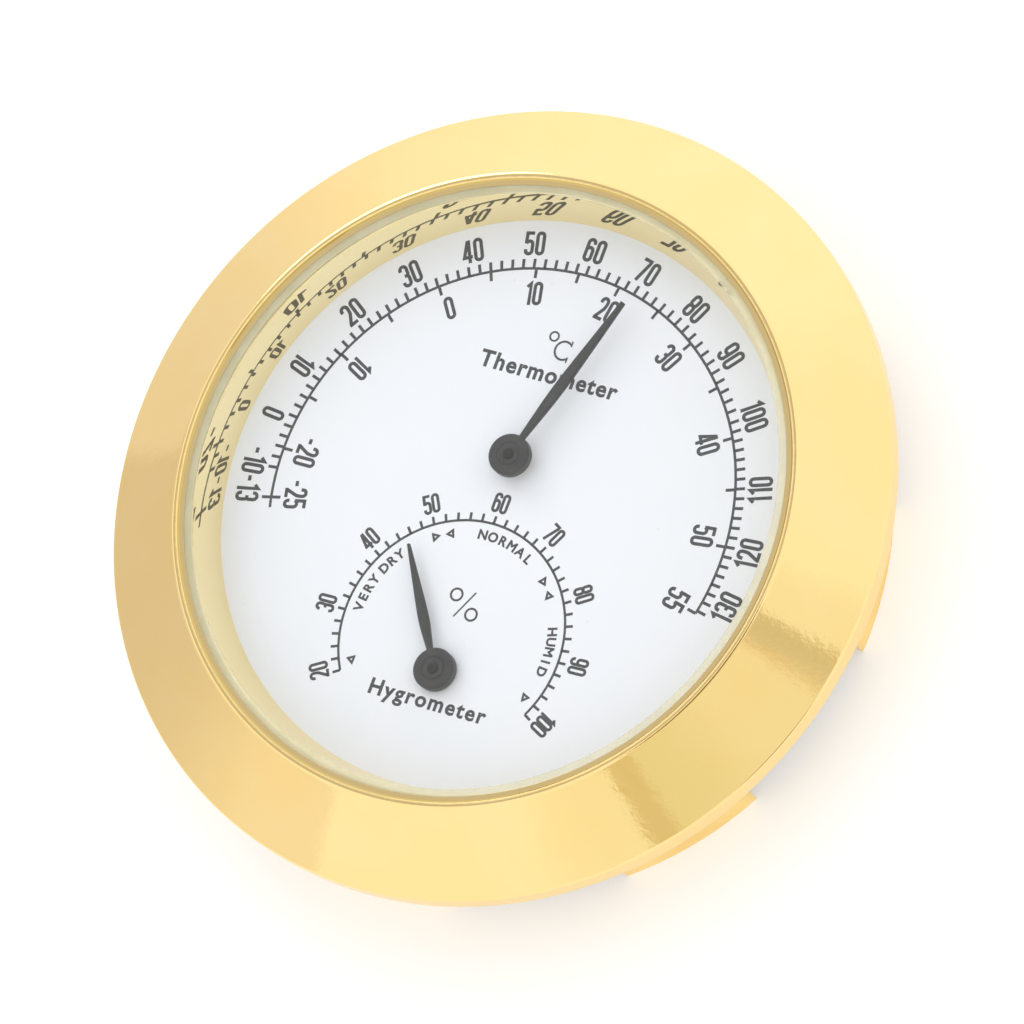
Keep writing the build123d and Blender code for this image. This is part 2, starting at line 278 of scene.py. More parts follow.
def ground_glass():
    """The ground edge of the glass: greenish, and matt enough to catch light."""
    pale = (0.74, 0.78, 0.66)
    look = Look("look_glass_edge", pale, roughness=0.6, ior=1.5)
    tone = look.remap(look.noise(1.5 * MM, 3), 0.35, 0.65)
    look.drive("Base Color", look.mix(tone, pale, (0.68, 0.73, 0.60)))
    look.bump(look.noise(0.06 * MM, 2), 0.004 * MM)
    return look.material


def gasket_vinyl():
    """Clear vinyl, a little milky, so that what is behind it shows through."""
    colour = (0.85, 0.80, 0.56)
    look = Look("look_gasket", colour, roughness=0.22, ior=1.5, alpha=0.45)
    tone = look.remap(look.noise(3 * MM, 2), 0.4, 0.6)
    look.drive("Base Color", look.mix(tone, colour, (0.80, 0.75, 0.51)))
    look.bump(look.noise(0.4 * MM, 2), 0.004 * MM)
    return look.material


def dial_paint():
    """Satin white paint with a trace of orange peel and a few dust specks."""
    white, cool = (0.92, 0.935, 0.995), (0.91, 0.935, 1.0)
    look = Look("look_dial_paint", white, roughness=0.42, ior=1.45)
    tone = look.remap(look.noise(9 * MM, 2), 0.35, 0.65)
    base = look.mix(tone, white, cool)
    dust = look.remap(look.specks(2.6 * MM), 0.012, 0.03, 1.0, 0.0)
    look.drive("Base Color", look.mix(dust, base, (0.55, 0.55, 0.56)))
    look.drive("Roughness", look.remap(look.noise(0.8 * MM, 3), 0.3, 0.7, 0.38, 0.48))
    look.bump(look.noise(0.35 * MM, 2), 0.003 * MM)
    return look.material


def print_ink():
    """Screen-printed ink, thinner in places."""
    dark, thin = (0.045, 0.045, 0.048), (0.075, 0.075, 0.08)
    look = Look("look_dial_ink", dark, roughness=0.5, ior=1.45)
    cover = look.remap(look.noise(0.18 * MM, 3), 0.4, 0.7)
    look.drive("Base Color", look.mix(cover, dark, thin))
    look.bump(look.noise(0.09 * MM, 2), 0.002 * MM)
    return look.material


def pointer_paint():
    """Matt charcoal lacquer on stamped metal, with a few pale specks."""
    dark, worn = (0.022, 0.022, 0.021), (0.038, 0.038, 0.036)
    look = Look("look_pointer", dark, roughness=0.45, ior=1.5)
    tone = look.remap(look.noise(0.6 * MM, 4, 0.6), 0.35, 0.7)
    base = look.mix(tone, dark, worn)
    dust = look.remap(look.specks(1.1 * MM), 0.02, 0.05, 1.0, 0.0)
    look.drive("Base Color", look.mix(dust, base, (0.42, 0.42, 0.38)))
    look.drive("Roughness", look.remap(look.noise(0.3 * MM, 3), 0.3, 0.7, 0.38, 0.55))
    look.bump(look.noise(0.15 * MM, 3), 0.006 * MM)
    return look.material


def cover_plastic():
    """Moulded plastic with a fine spark texture and scuffed patches."""
    dark, scuffed = (0.055, 0.047, 0.042), (0.085, 0.075, 0.068)
    look = Look("look_cover_plastic", dark, roughness=0.5, ior=1.46)
    wear = look.remap(look.noise(7 * MM, 5, 0.6), 0.45, 0.7)
    look.drive("Base Color", look.mix(wear, dark, scuffed))
    look.drive("Roughness", look.remap(look.noise(2 * MM, 4), 0.3, 0.7, 0.42, 0.62))
    look.bump(look.noise(0.22 * MM, 3, 0.7), 0.02 * MM)
    return look.material


def brushed_metal(name, colour, shade, roughness, grain):
    """Metal with drawn or turned lines. The lines are finer along an axis whose grain is larger."""
    look = Look(name, colour, metallic=1.0)
    tone = look.remap(look.noise(2.5 * MM, 3), 0.35, 0.65)
    look.drive("Base Color", look.mix(tone, colour, shade))
    lines = look.noise(0.08 * MM, 3, 0.6, look.stretched(*grain))
    look.drive("Roughness", look.remap(lines, 0.3, 0.7, roughness * 0.75, roughness * 1.35))
    look.bump(lines, 0.004 * MM)
    return look.material


# Painted shade on the bezel's lip: brown on the step up to the crest, darker gold on the land inside it.
LIP_LAND_SHADE = (0.95, 0.71, 0.33)
LIP_STEP_SHADE = (0.60, 0.44, 0.14)
GOLD_FACE = gold("look_gold_bezel", (0.93, 0.70, 0.32), (0.93, 0.685, 0.295), 0.05, 0.010 * MM,
                 painted_shade_rings=[(CREST_R, LIP_STEP_SHADE), (LIP_SLOPE_R, LIP_LAND_SHADE)])
GOLD_MIRROR = gold("look_gold_mirror", (1.0, 0.84, 0.47), (0.99, 0.82, 0.44), 0.012, 0.001 * MM)
GOLD_CAN = gold("look_gold_can", (0.98, 0.74, 0.30), (0.93, 0.68, 0.25), 0.20, 0.010 * MM)
GLASS = glass()
GLASS_EDGE = ground_glass()
GASKET = gasket_vinyl()
PAINT = dial_paint()
INK = print_ink()
CHARCOAL = pointer_paint()
PLASTIC = cover_plastic()
SCREW_LINES = (1, 1, 6)
FRAME_LINES = (0.15, 1, 1)
TURNED_LINES = (1, 1, 8)
ROLLED_LINES = (1, 1, 5)
STEEL = brushed_metal("look_bright_steel", (0.62, 0.61, 0.60), (0.52, 0.52, 0.52), 0.26, SCREW_LINES)
BLACK_STEEL = brushed_metal("look_black_steel", (0.05, 0.05, 0.048), (0.035, 0.035, 0.034), 0.4,
                            SCREW_LINES)
FRAME_STEEL = brushed_metal("look_frame_steel", (0.50, 0.50, 0.51), (0.42, 0.42, 0.43), 0.33, FRAME_LINES)
BRASS = brushed_metal("look_turned_brass", (0.78, 0.58, 0.27), (0.66, 0.47, 0.20), 0.24, TURNED_LINES)
BIMETAL = brushed_metal("look_bimetal", (0.52, 0.47, 0.40), (0.42, 0.37, 0.31), 0.34, ROLLED_LINES)
HUMIDITY_STRIP = brushed_metal("look_humidity_strip", (0.70, 0.66, 0.55), (0.60, 0.55, 0.43), 0.38,
                               ROLLED_LINES)


# ---------------------------------------------------------------- case

def bezel():
    """Rounded rim, wide polished cone and the bead that holds the glass."""
    seat = BEZEL_LOW.z
    chamfer = 0.45 * MM
    can_bore = 32.05 * MM
    lens_bore = LENS_R + 0.1 * MM
    rear_round = 0.8 * MM
    shoulder, shoulder_round = seat + 2.3 * MM, 0.3 * MM
    lip_seat = GASKET_HIGH.z
    crest = lip_seat + 0.21 * MM
    crest_edge, crest_edge_round = crest - 0.05 * MM, 0.06 * MM
    cone_end_round = 0.8 * MM
    land_outer, land_inner = lip_seat + 0.05 * MM, lip_seat + 0.02 * MM
    corners = [
        (can_bore, seat + chamfer, 0),
        (can_bore + chamfer, seat, 0),
        (BEZEL_R, seat, rear_round),
        (BEZEL_R, shoulder, shoulder_round),
        (CONE_END_R, crest, cone_end_round),
        (CREST_R, crest_edge, crest_edge_round),
        (LIP_SLOPE_R, land_outer, 0),
        (LIP_R, land_inner, 0),
        (LIP_R, lip_seat, 0),
        (lens_bore, lip_seat, 0),
        (lens_bore, HOUSING_HIGH.z, 0),
        (can_bore, HOUSING_HIGH.z, 0),
    ]
    new_piece("bezel_polished", turned(corners), GOLD_FACE, replaces=["bezel"])


def lens():
    """Clear disc with a thin ground band round its edge."""
    chamfer, band = 0.12 * MM, 0.04 * MM
    low, high = LENS_LOW.z + HAIR, LENS_HIGH.z
    clear_r = LENS_R - band
    outline = [
        Vector((0, low)),
        Vector((clear_r - chamfer, low)),
        Vector((clear_r, low + chamfer)),
        Vector((clear_r, high - chamfer)),
        Vector((clear_r - chamfer, high)),
        Vector((0, high)),
    ]
    new_piece("lens_glass_disc", lathe(outline), GLASS, replaces=["lens"])
    corners = [
        (clear_r + HAIR, low + chamfer, 0),
        (LENS_R, low + chamfer, 0),
        (LENS_R, high - chamfer, 0),
        (clear_r + HAIR, high - chamfer, 0),
    ]
    new_piece("lens_ground_edge", turned(corners), GLASS_EDGE, replaces=["lens"])


def gasket():
    """Flat clear ring between the glass and the lip."""
    inner_round = 0.05 * MM
    low, high = LENS_HIGH.z + HAIR, GASKET_HIGH.z - HAIR
    corners = [
        (GASKET_R, low, 0),
        (LENS_R, low, 0),
        (LENS_R, high, 0),
        (GASKET_R, high, inner_round),
    ]
    new_piece("gasket_ring", turned(corners), GASKET, replaces=["lens_gasket"])


def reflector():
    """Conical mirror from the dial to the flange under the glass."""
    wall = 0.5 * MM
    foot_r, head_r = 26.0 * MM, 27.34 * MM
    foot_round, head_round = 0.05 * MM, 0.1 * MM
    low, high = MIRROR_LOW.z, MIRROR_HIGH.z
    corners = [
        (foot_r, low, foot_round),
        (foot_r + wall, low, 0),
        (head_r + wall, high - wall, 0),
        (LENS_R, high - wall, 0),
        (LENS_R, high, 0),
        (head_r, high, head_round),
    ]
    new_piece("reflector_mirror", turned(corners), GOLD_MIRROR,
              replaces=["reflector_ring"])


def cad_looks():
    """Materials of the CAD nodes that show as they are."""
    looks = {
        "housing": GOLD_CAN,
        "dial_plate": PAINT,
        "back_cover": PLASTIC,
        "cover_screws": STEEL,
    }
    for name in ("thermometer", "hygrometer"):
        looks |= {
            f"{name}_frame": FRAME_STEEL,
            f"{name}_front_bush": BRASS,
            f"{name}_friction_washer": STEEL,
            f"{name}_adjuster": BRASS,
            f"{name}_coil_pin": BRASS,
            f"{name}_collet": BRASS,
            f"{name}_spindle": BLACK_STEEL,
        }
    looks["thermometer_coil"] = BIMETAL
    looks["hygrometer_coil"] = HUMIDITY_STRIP
    for node, material in looks.items():
        for place in NODES[node].material_slots:
            place.material = material


# ---------------------------------------------------------------- dial printing

INK_BASE = DIAL_Z + 0.002 * MM
INK_DEPTH = 0.012 * MM
INK_LAYERS = 7  # strokes take turns at this many heights, so that crossing ones share no face
INK_LAYER_STEP = 0.0004 * MM
SHARPEST_MITRE = 0.45  # keeps the outer corner of a sharp bend from running out


def arc_points(cx, cy, rx, ry, start, end, steps=10):
    """Points on an ellipse's arc, angles in degrees anticlockwise from +X."""
    return [
        (cx + rx * math.cos(math.radians(start + (end - start) * k / steps)),
         cy + ry * math.sin(math.radians(start + (end - start) * k / steps)))
        for k in range(steps + 1)
    ]


class Print:
    """Collects inked strokes on the dial and makes one thin solid piece of them."""

    def __init__(self, name):
        self.name = name
        self.bm = bmesh.new()
        self.layer = 0

    def stroke(self, points, width, closed=False):
        """A ribbon of constant width along a line on the dial."""
        self.layer += 1
        low = INK_BASE
        high = INK_BASE + INK_DEPTH + self.layer % INK_LAYERS * INK_LAYER_STEP
        path = [Vector(p) for p in points]
        count = len(path)
        sides = []
        for i, here in enumerate(path):
            before = path[i - 1] if i or closed else None
            after = path[(i + 1) % count] if i < count - 1 or closed else None
            runs = []
            if before is not None:
                runs.append((here - before).normalized())
            if after is not None:
                runs.append((after - here).normalized())
            across = [Vector((-r.y, r.x)) for r in runs]
            middle = sum(across, Vector((0, 0))).normalized()
            reach = width / 2 / max(middle.dot(across[0]), SHARPEST_MITRE)
            left, right = here + middle * reach, here - middle * reach
            corners = ((left, low), (left, high), (right, high), (right, low))
            sides.append([self.bm.verts.new((p.x, p.y, z)) for p, z in corners])
        spans = count if closed else count - 1
        for i in range(spans):
            this, following = sides[i], sides[(i + 1) % count]
            for k in range(4):
                m = (k + 1) % 4
                self.bm.faces.new((this[k], this[m], following[m], following[k]))
        if not closed:
            self.bm.faces.new(sides[0])
            self.bm.faces.new(sides[-1])

    def lettering(self, text, matrix, size, bold, spacing=1.0):
        """Letters in Blender's own font, centred, laid on the dial by matrix."""
        curve = bpy.data.curves.new("lettering", "FONT")
        curve.body = text
        curve.size = size
        curve.offset = bold
        curve.space_character = spacing
        curve.align_x = "CENTER"
        curve.extrude = INK_DEPTH / 2
        curve.resolution_u = 3
        holder = bpy.data.objects.new("lettering", curve)
        bpy.context.scene.collection.objects.link(holder)
        bpy.context.view_layer.update()
        graph = bpy.context.evaluated_depsgraph_get()
        mesh = bpy.data.meshes.new_from_object(holder.evaluated_get(graph))
        lift = Matrix.Translation((0, 0, INK_BASE + INK_DEPTH / 2))
        mesh.transform(lift @ matrix)
        self.bm.from_mesh(mesh)
        bpy.data.objects.remove(holder)
        bpy.data.meshes.remove(mesh)
        bpy.data.curves.remove(curve)

    def finish(self):
        bmesh.ops.remove_doubles(self.bm, verts=self.bm.verts, dist=1e-9)
        new_piece(self.name, self.bm, INK, sharp=25)


NUMERAL_WIDTH, NUMERAL_LINE_HEIGHT = 0.60, 1.91  # of the strokes' centre lines
NUMERAL_HEIGHT = 2.2  # of the ink
NUMERAL_STROKE = 0.31
NUMERAL_GAP = 0.42  # between the centre lines of neighbours


def numeral_strokes():
    """Centre lines of condensed numerals, as {character: (width, [(points, closed), ...])}."""
    w, h = NUMERAL_WIDTH, NUMERAL_LINE_HEIGHT
    r = w / 2
    mid = h / 2
    waist = 0.22
    bowl = 1.05

    def loop(low, high):
        return arc_points(r, high - r, r, r, 180, 0) + arc_points(r, low + r, r, r, 0, -180)

    zero = [(loop(0, h), True)]
    one = [([(0.02, h - 0.36), (0.36, h - 0.02), (0.36, -0.14)], False)]
    two = [([(0, h - r - 0.18)] + arc_points(r, h - r, r, r, 180, 0)
            + [(w, h - r - 0.22), (w * 0.9, mid + 0.04), (0.02, 0.06), (0.02, 0), (w + 0.13, 0)], False)]
    three = [
        ([(0, h - r - 0.12)] + arc_points(r, h - r, r, r, 180, 0)
         + arc_points(w - waist, mid + waist, waist, waist, 0, -90) + [(r - 0.06, mid)], False),
        ([(r - 0.06, mid)] + arc_points(w - waist, mid - waist, waist, waist, 90, 0)
         + arc_points(r, r, r, r, 0, -180) + [(0, r + 0.12)], False),
    ]
    four = [
        ([(w - 0.14, -0.14), (w - 0.14, h + 0.1)], False),
        ([(w - 0.22, h + 0.06), (-0.04, 0.42), (w + 0.14, 0.42)], False),
    ]
    five = [
        ([(w + 0.08, h), (0.02, h), (0.0, bowl - 0.1)], False),
        (arc_points(r, bowl - r + 0.12, r, r, 165, 0) + arc_points(r, r, r, r, 0, -180)
         + [(0, r + 0.12)], False),
    ]
    six = [
        (loop(0, bowl + 0.12), True),
        ([(w, h - r - 0.1)] + arc_points(r, h - r, r, r, 0, 180) + [(0, r)], False),
    ]
    seven = [([(-0.14, h), (w, h), (w, h - 0.2), (0.14, -0.14)], False)]
    eight = [(loop(0, mid + 0.03), True), (loop(mid - 0.03, h), True)]
    nine = [([(w - x, h - y) for x, y in points], closed) for points, closed in six]
    minus = [([(-0.14, mid * 0.95), (0.34, mid * 0.95)], False)]
    strokes = dict(zip("0123456789-", (zero, one, two, three, four, five, six, seven, eight, nine, minus)))
    widths = {"1": 0.36, "-": 0.26}
    return {character: (widths.get(character, w), lines) for character, lines in strokes.items()}


NUMERALS = numeral_strokes()


def place_on_arc(centre_y, radius, degrees):
    """Matrix of a mark on a scale, upright at its heading, degrees clockwise from the dial's top."""
    a = math.radians(degrees)
    at = Vector((radius * math.sin(a), centre_y + radius * math.cos(a), 0))
    return Matrix.Translation(at) @ Matrix.Rotation(-a, 4, "Z")


def number(ink, text, matrix, height, stroke=NUMERAL_STROKE, gap=NUMERAL_GAP, flipped=False):
    """A number centred on matrix, or turned to read from outside the scale where it is flipped."""
    scale = height / NUMERAL_HEIGHT
    width = sum(NUMERALS[c][0] for c in text) + gap * (len(text) - 1)
    middle = NUMERAL_LINE_HEIGHT / 2
    if flipped:
        matrix = matrix @ Matrix.Rotation(math.pi, 4, "Z")
    x = -width / 2
    for c in text:
        advance, strokes = NUMERALS[c]
        for points, closed in strokes:
            line = []
            for px, py in points:
                at = matrix @ Vector(((x + px) * scale * MM, (py - middle) * scale * MM, 0))
                line.append((at.x, at.y))
            ink.stroke(line, stroke * scale * MM, closed)
        x += advance + gap


def small_ring(ink, x, y, radius, width):
    """A printed circle, as in the degree and percent signs. Sizes in mm."""
    points = arc_points(x, y, radius, radius, 0, 360, 24)[:-1]
    ink.stroke([(px * MM, py * MM) for px, py in points], width * MM, closed=True)


def scale_line(ink, centre_y, radius, start, end, width):
    """The arc of a scale, from one heading to another."""
    degrees_per_step = 1.5
    steps = int(abs(end - start) / degrees_per_step)
    points = []
    for k in range(steps + 1):
        a = math.radians(start + (end - start) * k / steps)
        points.append((radius * math.sin(a), centre_y + radius * math.cos(a)))
    ink.stroke(points, width)


def tick(ink, centre_y, inner, outer, degrees, width):
    """A mark across a scale, from one radius to another."""
    a = math.radians(degrees)
    ink.stroke([(r * math.sin(a), centre_y + r * math.cos(a)) for r in (inner, outer)], width)


# Thermometer. Headings are in degrees clockwise from the dial's top.
T_RADIUS = 21.6 * MM
T_LINE = 0.235 * MM
T_FIRST_TICK = -95.5
T_TICK_RUNS = ((22, 2.536), (36, 2.653), (20, 2.31))  # (spaces, degrees each)
T_START, T_STOP = -105.2, 102.7
T_TICK, T_TICK_WIDTH = 0.88 * MM, 0.27 * MM
FAHRENHEIT_R, FAHRENHEIT_HEIGHT = 23.9 * MM, 2.2
FAHRENHEIT = {
    -13: -100.9, -10: -94.7, 0: -84, 10: -72, 20: -56.7, 30: -42, 40: -27.6, 50: -13.7,
    60: 0.1, 70: 13.4, 80: 27.7, 90: 41.3, 100: 56, 110: 72.6, 120: 86.5, 130: 98.7,
}
CELSIUS_R, CELSIUS_HEIGHT = 19.3 * MM, 2.15
CELSIUS = {
    -25: -101.9, -20: -90.3, -10: -64, 0: -35.6, 10: -12.3,
    20: 9.2, 30: 32, 40: 59.1, 50: 84.1, 55: 102.1,
}
CELSIUS_TICKS = (
    -102.7, -90.7, -77.2, -64.8, -50.5, -36.8, -23.8, -12.5,
    -1.7, 9.2, 21, 33, 46.3, 59.5, 72.1, 85.9, T_STOP,
)
T_WORD_Y, T_WORD_SIZE = 11.5 * MM, 2.12 * MM


def thermometer_scale():
    ink = Print("print_thermometer_scale")
    scale_line(ink, 0, T_RADIUS, T_START, T_STOP, T_LINE)
    headings = [CELSIUS_TICKS[0], T_FIRST_TICK]
    for spaces, pitch in T_TICK_RUNS:
        headings += [headings[-1] + pitch * (n + 1) for n in range(spaces)]
    for heading in headings:
        tick(ink, 0, T_RADIUS, T_RADIUS + T_TICK, heading, T_TICK_WIDTH)
    for heading in CELSIUS_TICKS:
        tick(ink, 0, T_RADIUS, T_RADIUS - T_TICK, heading, T_TICK_WIDTH)
    ink.finish()


def thermometer_numbers():
    ink = Print("print_fahrenheit_numbers")
    for t, heading in FAHRENHEIT.items():
        flipped = t <= 10 or t >= 110
        number(ink, str(t), place_on_arc(0, FAHRENHEIT_R, heading), FAHRENHEIT_HEIGHT, flipped=flipped)
    ink.finish()
    ink = Print("print_celsius_numbers")
    for t, heading in CELSIUS.items():
        text = "10" if t == -10 else str(t)  # printed without its minus sign on the real dial
        number(ink, text, place_on_arc(0, CELSIUS_R, heading), CELSIUS_HEIGHT, flipped=t < 0)
    ink.finish()


def thermometer_words():
    """The word and the degree sign with its letter C, whose ends have short serifs."""
    ink = Print("print_thermometer_words")
    ink.lettering("Thermometer", Matrix.Translation((0, T_WORD_Y, 0)), T_WORD_SIZE,
                  bold=0.06 * MM, spacing=1.12)
    small_ring(ink, x=-0.75, y=15.63, radius=0.41, width=0.17)
    letter = arc_points(cx=0.55, cy=14.6, rx=0.82, ry=0.84, start=52, end=308, steps=22)
    letter_width = 0.19 * MM
    ink.stroke([(x * MM, y * MM) for x, y in letter], letter_width)
    serif_x, serif_reach, serif_width = 1.12 * MM, 0.26, 0.14 * MM
    for y in (15.35, 13.85):
        ends = [(serif_x, (y - serif_reach) * MM), (serif_x, (y + serif_reach) * MM)]
        ink.stroke(ends, serif_width)
    ink.finish()


# Hygrometer
H_CENTRE = -12.32 * MM
H_RADIUS = 10.47 * MM
H_LINE = 0.215 * MM
H_LABEL_R, H_LABEL_HEIGHT, H_LABEL_STROKE = 12.4 * MM, 1.8, 0.32
H_TICK, H_TICK_WIDTH = 0.72 * MM, 0.24 * MM
H_START, H_STOP, H_TICK_PERCENT = 20, 100, 2
H_MIDDLE, H_MIDDLE_HEADING = 60, 0.3
H_PITCH_BELOW, H_PITCH_ABOVE = 3.06, 2.95  # degrees per percent, below and above the middle
H_LABELS = {20: -119.6, 30: -90.8, 40: -59.4, 50: -30.1, 60: 0.3, 70: 28.4, 80: 58, 90: 88.5, 100: 115.4}
ZONE_R = 9.32 * MM
ZONE_SIZE = 1.2 * MM
ZONES = (
    ("VERY DRY", -88.3, -52.4),
    ("NORMAL", -3.3, 27.7),
    ("HUMID", 73.4, 95.8),
)
SPACE = 0.42  # a word space, in letter pitches
ARROWS = ((-118, -1), (-30.7, 1), (-21.6, -1), (43.7, 1), (52.8, -1), (112.1, 1))  # (heading, way)
ARROW_R, ARROW_LINE = 0.34 * MM, 0.2 * MM
H_WORD_Y, H_WORD_SIZE = -19.1 * MM, 1.98 * MM


def humidity_heading(percent):
    pitch = H_PITCH_BELOW if percent < H_MIDDLE else H_PITCH_ABOVE
    return (percent - H_MIDDLE) * pitch + H_MIDDLE_HEADING


def hygrometer_scale():
    ink = Print("print_hygrometer_scale")
    scale_line(ink, H_CENTRE, H_RADIUS, humidity_heading(H_START), humidity_heading(H_STOP), H_LINE)
    for percent in range(H_START, H_STOP + 1, H_TICK_PERCENT):
        tick(ink, H_CENTRE, H_RADIUS, H_RADIUS + H_TICK, humidity_heading(percent), H_TICK_WIDTH)
    for heading, way in ARROWS:
        matrix = place_on_arc(H_CENTRE, ZONE_R, heading) @ Matrix.Rotation(-way * math.pi / 2, 4, "Z")
        corners = []
        for k in range(3):
            a = math.radians(90 + 120 * k)
            at = matrix @ Vector((ARROW_R * math.cos(a), ARROW_R * math.sin(a), 0))
            corners.append((at.x, at.y))
        ink.stroke(corners, ARROW_LINE, closed=True)
    ink.finish()


def hygrometer_numbers():
    ink = Print("print_hygrometer_numbers")
    for percent, heading in H_LABELS.items():
        matrix = place_on_arc(H_CENTRE, H_LABEL_R, heading)
        gap = 0.30 if percent == 100 else 0.36
        number(ink, str(percent), matrix, H_LABEL_HEIGHT, H_LABEL_STROKE, gap)
    ink.finish()


def hygrometer_words():
    """The word, the three zones letter by letter along their arc, and the percent sign."""
    ink = Print("print_hygrometer_words")
    ink.lettering("Hygrometer", Matrix.Translation((0, H_WORD_Y, 0)), H_WORD_SIZE,
                  bold=0.055 * MM, spacing=1.18)
    baseline_r = ZONE_R - 0.4 * MM
    for text, start, end in ZONES:
        spaces = text.count(" ")
        pitch = (end - start) / (len(text) - 1 - spaces * (1 - SPACE))
        heading = start
        for letter in text:
            if letter == " ":
                heading -= pitch * (1 - SPACE)
            else:
                matrix = place_on_arc(H_CENTRE, baseline_r, heading)
                ink.lettering(letter, matrix, ZONE_SIZE, bold=0.042 * MM)
            heading += pitch
    for x, y in ((-0.89, -8.71), (1.07, -10.1)):
        small_ring(ink, x, y, radius=0.54, width=0.19)
    slash_foot, slash_head = (-0.47 * MM, -10.65 * MM), (0.82 * MM, -8.1 * MM)
    slash_width = 0.14 * MM
    ink.stroke([slash_foot, slash_head], slash_width)
    ink.finish()


# ---------------------------------------------------------------- pointers

PRESS_GAP = 0.02 * MM  # between a pointer's bore and its spindle
HUB_R = 1.88 * MM
HUB_STEPS = 128
BLADE_SPANS = 10  # sections between two listed points of a blade
BLADE_SMOOTHINGS = 12
T_READING, H_READING = 18.3, -32.9  # the pointers' headings at rest
# Each blade is a list of (distance from the pivot, half width) in mm.
T_BLADE = [(1.6, 0.27), (3.2, 0.36), (5.5, 0.49), (7.8, 0.525), (11, 0.43), (16.46, 0.21)]
H_BLADE = [(1.6, 0.25), (2.8, 0.36), (4.0, 0.46), (5.0, 0.49), (7.5, 0.38), (11.89, 0.13)]


def hub(bore, low, top):
    """Disc with a rounded rim, a shallow groove and a raised middle."""
    foot_round, rim_round = 0.04 * MM, 0.16 * MM
    rim_top = top - 0.02 * MM
    groove_floor = top - 0.07 * MM
    return turned([
        (bore, low, 0),
        (HUB_R, low, foot_round),
        (HUB_R, rim_top, rim_round),
        (1.12 * MM, rim_top, 0),
        (1.07 * MM, groove_floor, 0),
        (0.98 * MM, groove_floor, 0),
        (0.93 * MM, top, 0),
        (bore, top, 0),
    ], HUB_STEPS)


def blade_stations(blade):
    """The blade's (distance, half width) at many places, with its widths smoothed."""
    stations = []
    for (d0, w0), (d1, w1) in zip(blade, blade[1:]):
        for k in range(BLADE_SPANS):
            t = k / BLADE_SPANS
            stations.append((d0 + (d1 - d0) * t, w0 + (w1 - w0) * t))
    stations.append(blade[-1])
    widths = [w for _, w in stations]
    for _ in range(BLADE_SMOOTHINGS):
        middle = [(a + 2 * b + c) / 4 for a, b, c in zip(widths, widths[1:], widths[2:])]
        widths = [widths[0]] + middle + [widths[-1]]
    return [(d, w) for (d, _), w in zip(stations, widths)]


def pointer(name, heading, blade):
    """Hub disc and a flat blade with chamfered edges, turned to its heading."""
    low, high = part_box(f"{name}_pointer")
    pivot_low, pivot_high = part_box(f"{name}_spindle")
    pivot = (pivot_low + pivot_high) / 2
    bore = (pivot_high.x - pivot_low.x) / 2 + PRESS_GAP
    bm = hub(bore, low.z, high.z)
    thickness = 0.35 * MM
    face = high.z - 0.05 * MM
    chamfer = 0.09 * MM
    sections = []
    for d, w in blade_stations(blade):
        w *= MM
        section = [
            (-w, face - thickness), (-w, face - chamfer), (-w + chamfer, face),
            (w - chamfer, face), (w, face - chamfer), (w, face - thickness),
        ]
        sections.append([bm.verts.new((x, d * MM, z)) for x, z in section])
    for this, following in zip(sections, sections[1:]):
        for k in range(len(this)):
            m = (k + 1) % len(this)
            bm.faces.new((this[k], this[m], following[m], following[k]))
    bm.faces.new(sections[0])
    bm.faces.new(sections[-1])
    turn = Matrix.Translation((pivot.x, pivot.y, 0)) @ Matrix.Rotation(-math.radians(heading), 4, "Z")
    bmesh.ops.transform(bm, matrix=turn, verts=bm.verts)
    new_piece(f"{name}_hand", bm, CHARCOAL, body=f"{name}_pointer",
              replaces=[f"{name}_pointer"])


# ---------------------------------------------------------------- studio

FLOOR_R = 150 * MM
FLOOR_GLOW = 0.40
KEY_PLACE, KEY_SIZE, KEY_POWER = (-0.44, 0.35, 0.36), 0.3, 0.45


def floor():
    """Plain pale disc, just below the object's rear face."""
    bm = bmesh.new()
    bmesh.ops.create_circle(bm, cap_ends=True, radius=FLOOR_R, segments=96)
    bmesh.ops.translate(bm, vec=(0, 0, -HAIR), verts=bm.verts)
    mesh = bpy.data.meshes.new("floor")
    bm.to_mesh(mesh)
    bm.free()
    plane = bpy.data.objects.new("floor", mesh)
    bpy.context.scene.collection.objects.link(plane)
    look = Look("look_floor", (0.70, 0.70, 0.71), roughness=0.7)
    tone = look.remap(look.noise(40 * MM, 2), 0.3, 0.7)
    look.drive("Base Color", look.mix(tone, (0.705, 0.705, 0.715), (0.695, 0.695, 0.705)))
    look.shader.inputs["Emission Color"].default_value = (1, 1, 1, 1)
    look.shader.inputs["Emission Strength"].default_value = FLOOR_GLOW
    mesh.materials.append(look.material)


WHITE_ROOM = 1.17
# Round areas of the room with another tone, as (direction, clear beyond, full within, tone).
# The two limits are angles from the direction, in degrees.
TONED_AREAS = (
    ((0.40, -0.23, 0.88), 18.8, 18.4, (0.77, 0.70, 0.56)),
    ((0.41, -0.25, 0.87), 14.2, 12.7, (1.11, 1.22, 1.37)),
    ((0.26, -0.48, 0.84), 20, 4, (0.90, 0.92, 0.86)),
    ((0.52, 0.01, 0.85), 3.4, 1.6, (0.88, 0.94, 1.04)),
    ((0.53, 0.10, 0.84), 8, 2, (0.90, 0.91, 0.85)),
    ((0.0, 0.0, 1.0), 10, 7, (0.25, 0.19, 0.08)),
    ((0.81, -0.35, 0.47), 15, 7, (0.30, 0.25, 0.15)),
    ((-0.43, 0.19, 0.88), 12, 7, (0.55, 0.55, 0.55)),
    ((-0.98, 0.0, 0.12), 44, 6, (0.77, 0.76, 0.79)),
    ((-0.88, -0.33, 0.35), 31, 29, (0.88, 0.86, 0.84)),
    ((-0.20, 0.90, 0.40), 40, 15, (1.05, 1.07, 1.13)),
)


